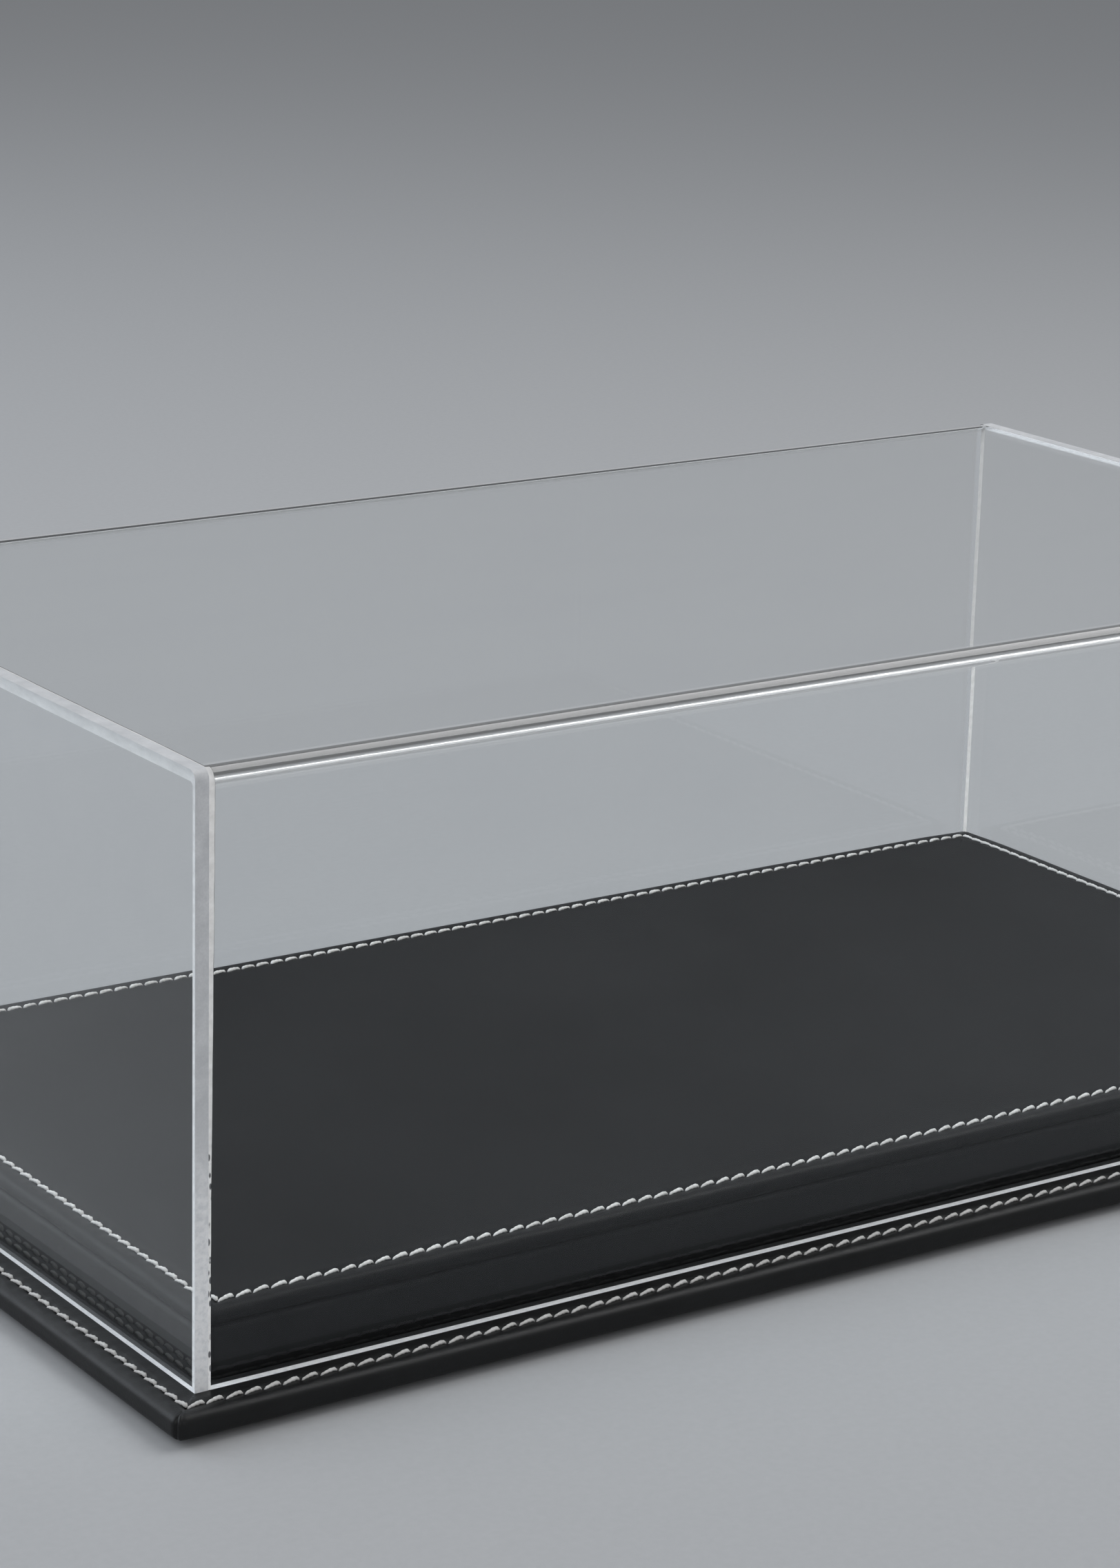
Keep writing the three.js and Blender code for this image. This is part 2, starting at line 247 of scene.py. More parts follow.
def cement_material():
    """Whitish cement with clouds, and dark bubbles near the outer edge of its lower part."""
    m = Nodes("cement_joint")
    clouds = m.noise(size=2.0, detail=5.0, rough=0.65, place=m.stretched((1.0, 0.3, 1.0)))
    bubbles = m.cells(size=0.9, place=m.stretched((1.0, 1.0, 0.42)))
    fewer_above = m.spread(m.axis(2), 55 * MM, 68 * MM, 0.04, -0.2)
    crowded = m.math("ADD", m.noise(size=9, detail=4.0), fewer_above)
    near_face = m.spread(m.math("ABSOLUTE", m.axis(1)), (COVER_Y - 0.8) * MM, (COVER_Y - 0.5) * MM)
    speck = m.math("MULTIPLY", m.spread(bubbles, 0.40, 0.28), m.spread(crowded, 0.44, 0.50))
    speck = m.math("MULTIPLY", speck, near_face)
    dull, white, hollow = (0.76, 0.753, 0.74, 1), (0.95, 0.942, 0.93, 1), (0.06, 0.062, 0.07, 1)
    colour = m.mix(speck, m.mix(m.spread(clouds, 0.3, 0.7), dull, white), hollow)
    return m.set(Base_Color=colour, Roughness=0.4, IOR=ACRYLIC_IOR, Transmission_Weight=0.1)


def fibreboard_material():
    m = Nodes("fibreboard")
    fibres = m.noise(size=0.8, detail=6.0, rough=0.7, place=m.stretched((1.0, 1.0, 3.0)))
    colour = m.mix(m.spread(fibres, 0.3, 0.7), (0.20, 0.13, 0.07, 1), (0.38, 0.27, 0.16, 1))
    return m.set(Base_Color=colour, Roughness=0.85, Normal=m.bump(fibres, 0.15, 0.6))


def foam_material():
    m = Nodes("thin_foam")
    pores = m.cells(size=0.5, feature="DISTANCE_TO_EDGE")
    colour = m.mix(m.spread(pores, 0.0, 0.3), (0.018, 0.018, 0.02, 1), (0.07, 0.07, 0.075, 1))
    return m.set(Base_Color=colour, Roughness=0.95, Normal=m.bump(pores, 0.1, 0.7))


def felt_material():
    m = Nodes("felt_lining")
    fuzz = m.noise(size=0.4, detail=6.0, rough=0.75)
    nap = m.noise(size=18, detail=4.0)
    colour = m.mix(m.spread(nap, 0.3, 0.7), (0.010, 0.010, 0.012, 1), (0.022, 0.022, 0.025, 1))
    colour = m.mix(m.spread(fuzz, 0.45, 0.8), colour, (0.045, 0.045, 0.05, 1))
    return m.set(Base_Color=colour, Roughness=0.95, Normal=m.bump(fuzz, 0.25, 0.8),
                 Sheen_Weight=0.35)


def rubber_material():
    m = Nodes("foot_rubber")
    pits = m.noise(size=0.6, detail=4.0)
    dust = m.noise(size=4, detail=4.0)
    colour = m.mix(m.spread(dust, 0.4, 0.7), (0.010, 0.010, 0.011, 1), (0.03, 0.03, 0.032, 1))
    return m.set(Base_Color=colour, Roughness=m.spread(pits, 0.3, 0.7, 0.6, 0.85),
                 Normal=m.bump(pits, 0.08, 0.5))


def steel_material():
    m = Nodes("zinc_plated_steel")
    drawn = m.noise(size=0.7, detail=4.0, place=m.stretched((1.0, 1.0, 0.15)))
    colour = m.mix(m.spread(drawn, 0.3, 0.7), (0.46, 0.47, 0.49, 1), (0.66, 0.67, 0.69, 1))
    return m.set(Base_Color=colour, Metallic=1.0, Roughness=m.spread(drawn, 0.3, 0.7, 0.22, 0.4),
                 Normal=m.bump(drawn, 0.03, 0.4))


# One leatherette in three copies that differ in gloss and also in colour: the top's colours are painted
# lighter as painted light, and the side's darker as painted shade.
leather = leatherette("black_leatherette", grey(0.004), grey(0.009, -0.03),
                      roughness=(0.38, 0.48), grain=0.022, shine=0.26)
leather_side = leatherette("black_leatherette_side", grey(0.003), grey(0.006, -0.03),
                           roughness=(0.44, 0.54), grain=0.012, shine=0.12)
leather_top = leatherette("black_leatherette_top", grey(0.007), grey(0.014, -0.02),
                          roughness=(0.75, 0.88), grain=0.012, shine=0.11)
thread = thread_material("waxed_thread", 1.0)
# The base seam's thread: the same thread with its colours painted darker as shade.
thread_painted_shade = thread_material("waxed_thread_painted_shade", 0.85)
acrylic = acrylic_material("clear_acrylic", 1.0, (0.35, 0.36, 0.38, 1))
# The bends are partly diffuse white, the back bend more so: painted light that stands in for the light
# lines that bent acrylic carries.
acrylic_bend = acrylic_material("heat_bent_acrylic", 0.80, (1, 1, 1, 1), coat=1.0)
acrylic_back_bend = acrylic_material("heat_bent_acrylic_back", 0.40, (1, 1, 1, 1), coat=1.0)
sawn = sawn_edge_material()
cement = cement_material()


# Meshes
def make_object(name, vertices, faces, materials, slots=None, smooth=True, weld=None):
    mesh = bpy.data.meshes.new(name)
    mesh.from_pydata([tuple(v) for v in np.asarray(vertices) * MM], [], faces)
    for material in materials:
        mesh.materials.append(material)
    if slots is not None:
        mesh.polygons.foreach_set("material_index", slots)
    mesh.polygons.foreach_set("use_smooth", [smooth] * len(mesh.polygons))
    if weld:
        bm = bmesh.new()
        bm.from_mesh(mesh)
        bmesh.ops.remove_doubles(bm, verts=bm.verts, dist=weld * MM)
        bmesh.ops.recalc_face_normals(bm, faces=bm.faces)
        bm.to_mesh(mesh)
        bm.free()
    mesh.update()
    obj = bpy.data.objects.new(name, mesh)
    bpy.context.scene.collection.objects.link(obj)
    return obj


def smooth_noise(points, size, seed):
    """Smooth noise from -1 to 1 at points in millimetres, with features of about that size."""
    return np.array([noise.noise(Vector((x / size + seed, y / size - seed, z / size)))
                     for x, y, z in points])


def waves(points, *layers):
    """Layers of smooth noise added up, each given as (height, size, seed)."""
    return sum(height * smooth_noise(points, size, seed) for height, size, seed in layers)


def tube_faces(first, rings, around):
    """Faces of a tube whose points start at first: its side, then its two ends."""
    last = first + (rings - 1) * around
    faces = []
    for low in range(first, last, around):
        high = low + around
        for a in range(around):
            b = (a + 1) % around
            faces.append((low + a, low + b, high + b, high + a))
    faces.append(tuple(first + a for a in reversed(range(around))))
    faces.append(tuple(last + a for a in range(around)))
    return faces


class Outline:
    """A rounded rectangle walked round anticlockwise, with points for rings inside it.

    side is 0 to 3 for the points on the straight sides, and 4 to 7 on the corners that follow them.
    """

    def __init__(self, half_x, half_y, radius, step, corner_steps):
        self.half = (half_x, half_y)
        self.radius = radius
        side, along, normal = [], [], []
        for k in range(4):
            reach = self.half[k % 2] - radius
            count = max(2, round(2 * reach / step))
            for i in range(count + 1):
                side.append(k)
                along.append(-1 + 2 * i / count)
                normal.append(-90 + 90 * k)
            for i in range(1, corner_steps):
                side.append(k + 4)
                along.append(1.0)
                normal.append(-90 + 90 * (k + i / corner_steps))
        self.side = np.array(side)
        self.along = np.array(along)
        turn = np.radians(normal)
        self.normal = np.stack([np.cos(turn), np.sin(turn)], axis=1)
        self.turn = np.degrees(turn)

    def ring(self, inset):
        """x, y of each point at this inset from the outline."""
        cx = self.half[0] - max(self.radius, inset)
        cy = self.half[1] - max(self.radius, inset)
        r = max(self.radius - inset, 0.0)
        k = self.side % 4
        u = self.along
        x = np.select([k == 0, k == 1, k == 2], [u * cx, cx, -u * cx], -cx)
        y = np.select([k == 0, k == 1, k == 2], [-cy, u * cy, cy], -u * cy)
        corner = self.side >= 4
        corner_x = np.select([k == 0, k == 1, k == 2], [cx, cx, -cx], -cx)
        corner_y = np.select([k == 0, k == 1, k == 2], [-cy, cy, cy], -cy)
        x = np.where(corner, corner_x, x)
        y = np.where(corner, corner_y, y)
        return np.stack([x, y], axis=1) + r * self.normal

    def distance_along(self, inset):
        """Distance of each point from the start of its side, and the side's length, at this inset."""
        half = np.where(self.side % 2 == 0, self.half[0], self.half[1]) - max(self.radius, inset)
        return (self.along + 1) * half, 2 * half


def stitch_count(half, inset, pitch):
    return round(2 * (half - inset) / pitch)


def seam_relief(outline, insets, seam, pitches, channel, hole, pillow):
    """How far the leather lies above its plain surface near a seam, for each ring and point."""
    relief = np.zeros((len(insets), len(outline.side)))
    along_x = outline.side % 2 == 0
    seam_half = np.where(along_x, *outline.half) - seam
    counts = [stitch_count(half, seam, pitch) for half, pitch in zip(outline.half, pitches)]
    count = np.where(along_x, *counts)
    pitch = 2 * seam_half / count
    for row, inset in enumerate(insets):
        across = inset - seam
        if abs(across) > SEAM_REACH:
            continue
        along, length = outline.distance_along(inset)
        phase = (along - length / 2 + seam_half) / pitch
        near = phase - np.round(phase)
        dip = -channel * math.exp(-(across / CHANNEL_WIDTH) ** 2)
        pits = -hole * np.exp(-(near * pitch / HOLE_LENGTH) ** 2 - (across / HOLE_WIDTH) ** 2)
        puckers = -pillow * np.cos(2 * math.pi * phase) * math.exp(-abs(across) / PUCKER_FADE)
        swell = SWELL_SHARE * pillow * math.exp(-((abs(across) - SWELL_PLACE) / SWELL_WIDTH) ** 2)
        inside = np.abs(phase - count / 2) < count / 2 + 0.5
        relief[row] = np.where(inside & (outline.side < 4), dip + pits + puckers, dip) + swell
    return relief


def sweep(name, outline, profile, materials, relief=None, wander=None, closed=True, bow=None,
          slots=None):
    """Carries a profile of (inset, z) round an outline.

    relief and bow lift points along Z, and wander moves them outwards.
    """
    rows = []
    for row, (inset, z) in enumerate(profile):
        xy = outline.ring(inset)
        zs = np.full(len(xy), z)
        if bow is not None:
            zs = zs + bow(xy, z)
        if relief is not None:
            zs = zs + relief[row]
        if wander is not None:
            xy = xy + outline.normal * wander[row][:, None]
        rows.append(np.column_stack([xy, zs]))
    points = np.concatenate(rows)
    n, m = len(outline.side), len(profile)
    faces, face_slots = [], []
    last = m if closed else m - 1
    for row in range(last):
        a, b = row * n, ((row + 1) % m) * n
        for i in range(n):
            j = (i + 1) % n
            faces.append((a + i, a + j, b + j, b + i))
            face_slots.append(slots[row] if slots else 0)
    return make_object(name, points, faces, materials, face_slots, weld=WELD)


def arc(cx, cz, radius, start, end, steps):
    """Points of an arc in (inset, z), angles in degrees: 0 points inwards, 90 up, 180 outwards."""
    turns = [math.radians(start + (end - start) * i / steps) for i in range(steps + 1)]
    return [(cx + radius * math.cos(t), cz + radius * math.sin(t)) for t in turns]


def spaced(start, end, step):
    count = max(1, round(abs(end - start) / step))
    return [start + (end - start) * i / count for i in range(count + 1)]


# Leatherette, folded at the corners
RIDGE_TURN, RIDGE_WIDTH = 6, 9.0  # degrees round the corner, from its middle
CREASE_TURN, CREASE_WIDTH, CREASE_SHARE = 12, 6.0, 1.1


def corner_fold(outline, height, lean=1.0):
    """A folded pleat down each corner: a ridge with a crease beside it. One value for each point."""
    from_middle = (outline.turn + 360) % 90 - 45
    ridge = np.exp(-((from_middle - RIDGE_TURN * lean) / RIDGE_WIDTH) ** 2)
    crease = np.exp(-((from_middle + CREASE_TURN * lean) / CREASE_WIDTH) ** 2)
    return np.where(outline.side >= 4, height * (ridge - CREASE_SHARE * crease), 0.0)


def ring_points(outline, inset, z):
    xy = outline.ring(inset)
    return np.column_stack([xy, np.full(len(xy), z)])


def wrap_profile(top, bottom, edge, hem, middle, zones):
    """A wrap's section, as (inset, z), and how many of its points are on the outside.

    It runs from the middle of the top round the edge to the end of the hem, and back along the
    board. zones gives the spacing on the top, as (start, end, step).
    """
    outer = [(d, top) for zone in zones for d in spaced(*zone)[:-1]]
    outer += arc(edge, top - edge, edge, 90, 180, ARC_STEPS)
    outer += arc(edge, bottom + edge, edge, 180, 270, ARC_STEPS)
    outer += [(d, bottom) for d in spaced(edge, hem, 2.5)[1:]]
    inner_edge = edge - LEATHER
    inner = [(d, bottom + LEATHER) for d in spaced(hem, edge, 4)]
    inner += arc(edge, bottom + edge, inner_edge, 270, 180, INNER_ARC_STEPS)[1:]
    inner += arc(edge, top - edge, inner_edge, 180, 90, INNER_ARC_STEPS)
    inner += [(d, top - LEATHER) for d in spaced(edge, middle, 20)[1:]]
    return outer + inner, len(outer)


def uneven(outline, profile, outside, edge, relief, push, lift, lift_reach=math.inf):
    """Keeps the seam's relief on the top, and adds the leather's own unevenness to it.

    push gives how far a ring's points on the edge lie outwards. lift gives how far those on the
    top lie up, where their inset is below lift_reach. Returns the outward moves for all rings.
    """
    wander = np.zeros_like(relief)
    top = profile[0][1]
    for row, (inset, z) in enumerate(profile):
        on_top, on_edge = z >= top - TINY, inset <= edge + TINY
        if row >= outside or not on_top:
            relief[row] = 0
        if row < outside and on_edge:
            wander[row] = push(ring_points(outline, inset, z))
        elif row < outside and on_top and inset < lift_reach:
            relief[row] += lift(ring_points(outline, inset, z))
    return wander


def base_leatherette():
    outline = Outline(BASE_X, BASE_Y, BASE_R, step=0.5, corner_steps=24)
    top, bottom, edge = LEDGE_Z, HEM_Z, BASE_EDGE
    zones = ((BASE_Y, 18, 12), (18, SEAM_REACH, 1.5), (SEAM_REACH, edge, 0.3))
    profile, outside = wrap_profile(top, bottom, edge, BASE_HEM, BASE_Y, zones)
    relief = seam_relief(outline, [p[0] for p in profile], BASE_SEAM, BASE_PITCH,
                         channel=0.16, hole=0.42, pillow=0.07)
    fold = corner_fold(outline, 0.28)

    def push(points):
        share = 1 - abs(points[0, 2] - (top + bottom) / 2) / (top - bottom)
        drawn = fold * min(1.0, 1.6 * share) - BASE_TUCK
        return waves(points, (0.07, 17.0, 3.1), (0.03, 4.0, 7.7)) + drawn

    def lift(points):
        return waves(points, (0.035, 6.0, 1.3))

    wander = uneven(outline, profile, outside, edge, relief, push, lift, lift_reach=SEAM_REACH)
    return sweep("base_leatherette_wrap", outline, profile, [leather], relief, wander, closed=False)


base_wrap = base_leatherette()
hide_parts("base_leather")
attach(base_wrap, "base")


def side_leatherette():
    outline = Outline(PLINTH_X, PLINTH_Y, PLINTH_R, step=2.0, corner_steps=16)
    top, bottom, edge = BLOCK_TOP, LEDGE_Z, BLOCK_EDGE
    outer = [(0.0, z) for z in spaced(bottom, top - edge, 1.1)[:-1]]
    outer += list(reversed(arc(edge, top - edge, edge, 90, 180, ARC_STEPS)))
    outer += [(d, top) for d in spaced(edge, PLINTH_HEM, 2.5)[1:]]
    inner = [(PLINTH_HEM, top - LEATHER)]
    inner += arc(edge, top - edge, edge - LEATHER, 90, 180, INNER_ARC_STEPS)
    inner += [(LEATHER, bottom)]
    profile = outer + inner
    wander = np.zeros((len(profile), len(outline.side)))
    fold = corner_fold(outline, 0.2, lean=-1.0)
    for row, (inset, z) in enumerate(outer):
        if inset > edge:
            continue
        points = ring_points(outline, inset, z)
        free = min(1.0, (z - bottom) / GLUED_HEIGHT)
        drawn = waves(points, (0.10, 30.0, 5.2), (0.04, 9.0, 2.4)) - SIDE_TUCK
        wander[row] = drawn * free + fold * free
    return sweep("plinth_side_wrap", outline, profile, [leather_side], wander=wander)


side_wrap = side_leatherette()
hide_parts("plinth_side_leather")
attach(side_wrap, "base")


def corner_drop(xy, z):
    """The panel's padded top falls away softly near its four corners."""
    gap = np.hypot(PLINTH_X - np.abs(xy[:, 0]), PLINTH_Y - np.abs(xy[:, 1]))
    start = PANEL_Z + DROP_START
    level = min(1.0, max(0.0, (z - start) / (PANEL_TOP - start)))
    return -CORNER_DROP * level * np.exp(-(gap / DROP_REACH) ** 2)


def panel_leatherette():
    outline = Outline(PLINTH_X, PLINTH_Y, PLINTH_R, step=0.5, corner_steps=24)
    edge = PANEL_EDGE
    zones = ((PLINTH_Y, 12, 6.0), (12, SEAM_REACH, 1.0), (SEAM_REACH, edge, 0.3))
    profile, outside = wrap_profile(PANEL_TOP, PANEL_Z, edge, PLINTH_HEM, PLINTH_Y, zones)
    insets = [p[0] for p in profile]
    relief = seam_relief(outline, insets, PANEL_SEAM, PANEL_PITCH,
                         channel=0.20, hole=0.42, pillow=0.08)
    fold = corner_fold(outline, 0.2)

    def push(points):
        return waves(points, (0.06, 20.0, 4.1), (0.03, 5.0, 6.6)) - PANEL_TUCK + fold * 0.8

    def lift(points):
        return waves(points, (0.05, 26.0, 9.3)) - PANEL_SINK

    wander = uneven(outline, profile, outside, edge, relief, push, lift)
    # The rim outside the seam takes the side's copy, so its colour is painted darker there as shade.
    slots = [1 if d < PANEL_SEAM else 0 for d in insets]
    return sweep("panel_leatherette_wrap", outline, profile, [leather_top, leather_side],
                 relief, wander, closed=False, bow=corner_drop, slots=slots)


panel_wrap = panel_leatherette()
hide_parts("panel_leather")
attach(panel_wrap, "base")


def panel_foam():
    low, high = PANEL_Z + LEATHER + PANEL_BOARD, PANEL_TOP - LEATHER
    inset = 1.0
    outline = Outline(PLINTH_X - inset, PLINTH_Y - inset, PLINTH_R - inset, step=8.0, corner_steps=8)
    rings = spaced(PLINTH_Y - inset, 3.0, 8.0)
    profile = [(d, high - 0.06) for d in rings]
    profile += [(1.4, high - 0.10), (0.6, high - 0.2), (0.2, low + 0.1), (0.5, low)]
    profile += [(d, low) for d in reversed(rings)]
    return sweep("panel_foam_pad", outline, profile, [foam_material()], closed=False, bow=corner_drop)


foam = panel_foam()
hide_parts("panel_padding")
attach(foam, "base")


# Stitches
def jitter(rng, reach):
    return rng.uniform(-reach, reach)


def stitch_points(length, rise_mm, rng):
    """Rings of a two-ply thread that comes up at one hole and goes down at the next."""
    radius = THREAD_RADIUS * rng.uniform(*THICKNESS_SHARES)
    lift = rise_mm + jitter(rng, RISE_JITTER)
    turn = rng.uniform(0, 2 * math.pi)
    verts = []
    for i in range(STITCH_RINGS):
        t = -1 + 2 * i / (STITCH_RINGS - 1)
        along = t * length / 2
        # Highest a little past the middle, steep at its holes, and pinched there.
        rise = lift * (1 - (0.62 * (t - 0.4)) ** 2) - 0.30 * abs(t) ** 9 - 0.12 * max(0.0, -t)
        sway = 0.05 * math.sin(math.pi * t)
        thick = radius * (0.86 + 0.16 * math.tanh(2.2 * (t + 0.2))) * (1 - 0.34 * abs(t) ** 10)
        twist = turn + along * 2 * math.pi / PLY_TWIST
        for j in range(STITCH_AROUND):
            a = 2 * math.pi * j / STITCH_AROUND
            r = thick * (1 + PLY_DEPTH * math.cos(2 * (a - twist)))
            verts.append((along, sway + r * math.cos(a), rise + 0.86 * r * math.sin(a)))
    return np.array(verts)


def turned(x, y, angle):
    c, s = math.cos(angle), math.sin(angle)
    return x * c - y * s, x * s + y * c


def seam_stitches(name, half, inset, pitches, z, rise, seed, material, bow=None):
    """A row of single stitches along each side, no two quite alike."""
    rng = random.Random(seed)
    vertices, faces = [], []
    for k in range(4):
        reach = half[k % 2] - inset
        count = stitch_count(half[k % 2], inset, pitches[k % 2])
        pitch = 2 * reach / count
        for i in range(count):
            points = stitch_points(pitch - STITCH_GAP + jitter(rng, LENGTH_JITTER), rise, rng)
            slant = math.radians(STITCH_SLANT + jitter(rng, SLANT_JITTER))
            x, y = turned(points[:, 0], points[:, 1], slant)
            x = x + (i + 0.5) * pitch - reach + jitter(rng, PLACE_JITTER)
            y = y - (half[(k + 1) % 2] - inset) + jitter(rng, PLACE_JITTER)
            x, y = turned(x, y, math.radians(90 * k))
            world = np.column_stack([x, y, points[:, 2] + z])
            if bow is not None:
                world[:, 2] += bow(world[:, :2], z)
            faces += tube_faces(len(vertices), STITCH_RINGS, STITCH_AROUND)
            vertices.extend(world.tolist())
    return make_object(name, vertices, faces, [material])


base_stitches = seam_stitches("base_seam_stitches", (BASE_X, BASE_Y), BASE_SEAM, BASE_PITCH, LEDGE_Z,
                              rise=0.14, seed=11, material=thread_painted_shade)
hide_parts("base_stitching")
panel_stitches = seam_stitches("panel_seam_stitches", (PLINTH_X, PLINTH_Y), PANEL_SEAM, PANEL_PITCH,
                               PANEL_TOP, rise=0.09, seed=23, material=thread, bow=corner_drop)
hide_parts("panel_stitching")
for piece in (base_stitches, panel_stitches):
    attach(piece, "base")


# Underside
def felt_lining():
    """Felt over the hem, with a raised middle that fills the window the hem leaves."""
    half_x, half_y = BASE_X - LINING_INSET, BASE_Y - LINING_INSET
    outline = Outline(half_x, half_y, LINING_R, step=3.0, corner_steps=8)
    low, high = FOOT_H, HEM_Z
    raised = BASE_HEM + HEM_GAP - LINING_INSET
    rings = spaced(half_y, 12, 12)
    profile = [(d, low) for d in rings]
    profile += [(3.0, low), (0.25, low + 0.03), (0.0, low + 0.15), (0.0, high - 0.1), (0.2, high)]
    profile += [(raised, high), (raised, high + LEATHER)]
    profile += [(d, high + LEATHER) for d in reversed(rings)]
    relief = np.zeros((len(profile), len(outline.side)))
    wander = np.zeros_like(relief)
    for row, (inset, z) in enumerate(profile):
        points = ring_points(outline, inset, z)
        if z < low + TINY:
            relief[row] = 0.03 * np.abs(smooth_noise(points, 5.0, 2.2))
        elif inset < 1:
            wander[row] = waves(points, (LINING_FRAY, 4.0, 8.8)) - LINING_FRAY
    return sweep("underside_felt", outline, profile, [felt_material()], relief, wander, closed=False)


felt = felt_lining()
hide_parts("base_lining")
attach(felt, "base")


# Clear cover
def quarter_turn(steps):
    """Unit normals in (y, z), from straight forwards to straight up."""
    turns = [math.radians(180 - 90 * i / steps) for i in range(steps + 1)]
    return [(math.cos(a), math.sin(a)) for a in turns]


def on_bend(n, y, z, radius):
    """The point with normal n on a bend whose square corner would lie at y, z."""
    return y + radius * (1 + n[0]), z - radius * (1 - n[1])


def mirrored(point):
    return -point[0], point[1]


def wall_path():
    """The bent sheet's section from front foot to back foot: outer point, inner point and normal."""
    reach = max(BEND, SHEET + INNER_BEND)
    stations = []
    for z in spaced(FOOT_CLEARANCE, COVER_H - reach, 5.0):
        stations.append(((-COVER_Y, z), (-COVER_Y + SHEET, z), (-1.0, 0.0)))
    for n in quarter_turn(BEND_STEPS):
        stations.append((on_bend(n, -COVER_Y, COVER_H, BEND),
                         on_bend(n, -COVER_Y + SHEET, COVER_H - SHEET, INNER_BEND), n))
    for y in spaced(-COVER_Y + reach, 0.0, 6.0):
        stations.append(((y, COVER_H), (y, COVER_H - SHEET), (0.0, 1.0)))
    return stations + [tuple(map(mirrored, station)) for station in reversed(stations[:-1])]


PATH = wall_path()


def end_outline():
    """Outline of an end panel from front foot to back foot: point and normal."""
    stations = [((-COVER_Y, FOOT_CLEARANCE), (-1.0, 0.0))]
    stations += [(on_bend(n, -COVER_Y, COVER_H, END_CORNER), n) for n in quarter_turn(CORNER_STEPS)]
    return stations + [tuple(map(mirrored, station)) for station in reversed(stations)]


def joint_width(y, z, seed):
    """How wide the cement stands between an end panel and the bent sheet."""
    wave = 0.5 + 0.5 * noise.noise(Vector((y / 7.0 + seed, z / 7.0, seed)))
    fine = 0.5 + 0.5 * noise.noise(Vector((y / 1.8, z / 1.8 + seed, seed)))
    if y < -COVER_Y + BEND:
        base = JOINT_FOOT + JOINT_GROWTH * max(0.0, z / COVER_H) ** 1.5
    elif y > COVER_Y - BEND:
        base = JOINT_BACK
    else:
        base = JOINT_TOP
    return base + 0.22 * wave + 0.10 * fine


def middle_of(station):
    (outer_y, outer_z), (inner_y, inner_z), _ = station
    return (outer_y + inner_y) / 2, (outer_z + inner_z) / 2


def joint_edge(station, side, gaps):
    """x where the cement ends towards the bent sheet, and as many film gaps further in."""
    width = joint_width(*middle_of(station), 3.7 * side)
    return side * (COVER_X - SHEET - width - gaps * FILM_GAP)


def sheet_ends(station):
    """x of the bent sheet's left and right ends: a film gap on either side of the cement."""
    return joint_edge(station, -1, 2), joint_edge(station, 1, 2)


class Plates:
    """Flat faces that share no points, each turned to look along its own normals."""

    def __init__(self):
        self.verts, self.faces, self.slots, self.normals = [], [], [], []

    def add(self, points, slot, normals):
        a, b = np.array(points[0]), np.array(points[1])
        c = np.array(points[len(points) // 2])
        if np.dot(np.cross(b - a, c - a), np.mean(normals, axis=0)) < 0:
            points, normals = points[::-1], normals[::-1]
        first = len(self.verts)
        self.verts.extend(points)
        self.faces.append(tuple(range(first, first + len(points))))
        self.slots.append(slot)
        self.normals.extend(normals)

    def make(self, name, materials):
        points = np.array(self.verts) + np.array([0, 0, LEDGE_Z])
        obj = make_object(name, points, self.faces, materials, self.slots)
        obj.data.normals_split_custom_set([tuple(n) for n in self.normals])
        return obj


CLEAR, SAWN, FRONT_BEND, BACK_BEND = range(4)  # material slots


def bent_sheet():
    """The sheet's broad faces are smooth, and its sawn feet and ends are flat faces of their own."""
    plates = Plates()
    for a, b in zip(PATH[:-1], PATH[1:]):
        (left_a, right_a), (left_b, right_b) = sheet_ends(a), sheet_ends(b)
        (outer_a, inner_a, turn_a), (outer_b, inner_b, turn_b) = a, b
        out_a, out_b = (0, turn_a[0], turn_a[1]), (0, turn_b[0], turn_b[1])
        in_a, in_b = (0, -turn_a[0], -turn_a[1]), (0, -turn_b[0], -turn_b[1])
        if turn_a == turn_b:
            slot = CLEAR
        else:
            slot = FRONT_BEND if outer_a[0] < 0 else BACK_BEND
        plates.add([(left_a, *outer_a), (right_a, *outer_a), (right_b, *outer_b), (left_b, *outer_b)],
                   slot, [out_a, out_a, out_b, out_b])
        plates.add([(left_a, *inner_a), (left_b, *inner_b), (right_b, *inner_b), (right_a, *inner_a)],
                   slot, [in_a, in_b, in_b, in_a])
        plates.add([(left_a, *outer_a), (left_b, *outer_b), (left_b, *inner_b), (left_a, *inner_a)],
                   CLEAR, [(-1, 0, 0)] * 4)
        plates.add([(right_a, *outer_a), (right_a, *inner_a), (right_b, *inner_b), (right_b, *outer_b)],
                   CLEAR, [(1, 0, 0)] * 4)
    for foot in (PATH[0], PATH[-1]):
        left, right = sheet_ends(foot)
        outer, inner = foot[:2]
        plates.add([(left, *outer), (left, *inner), (right, *inner), (right, *outer)],
                   SAWN, [(0, 0, -1)] * 4)
    return plates.make("cover_bent_sheet", [acrylic, sawn, acrylic_bend, acrylic_back_bend])


def end_panel(name, side):
    outline = end_outline()
    outside, inside = side * COVER_X, side * (COVER_X - SHEET)
    plates = Plates()
    plates.add([(outside, *p) for p, _ in outline], CLEAR, [(side, 0, 0)] * len(outline))
    plates.add([(inside, *p) for p, _ in outline], CLEAR, [(-side, 0, 0)] * len(outline))

    def across(p, q, normal_p, normal_q):
        points = [(outside, *p), (inside, *p), (inside, *q), (outside, *q)]
        plates.add(points, SAWN, [(0, *normal_p)] * 2 + [(0, *normal_q)] * 2)

    for (p, normal_p), (q, normal_q) in zip(outline[:-1], outline[1:]):
        across(p, q, normal_p, normal_q)
    across(outline[-1][0], outline[0][0], (0, -1), (0, -1))
    return plates.make(name, [acrylic, sawn])


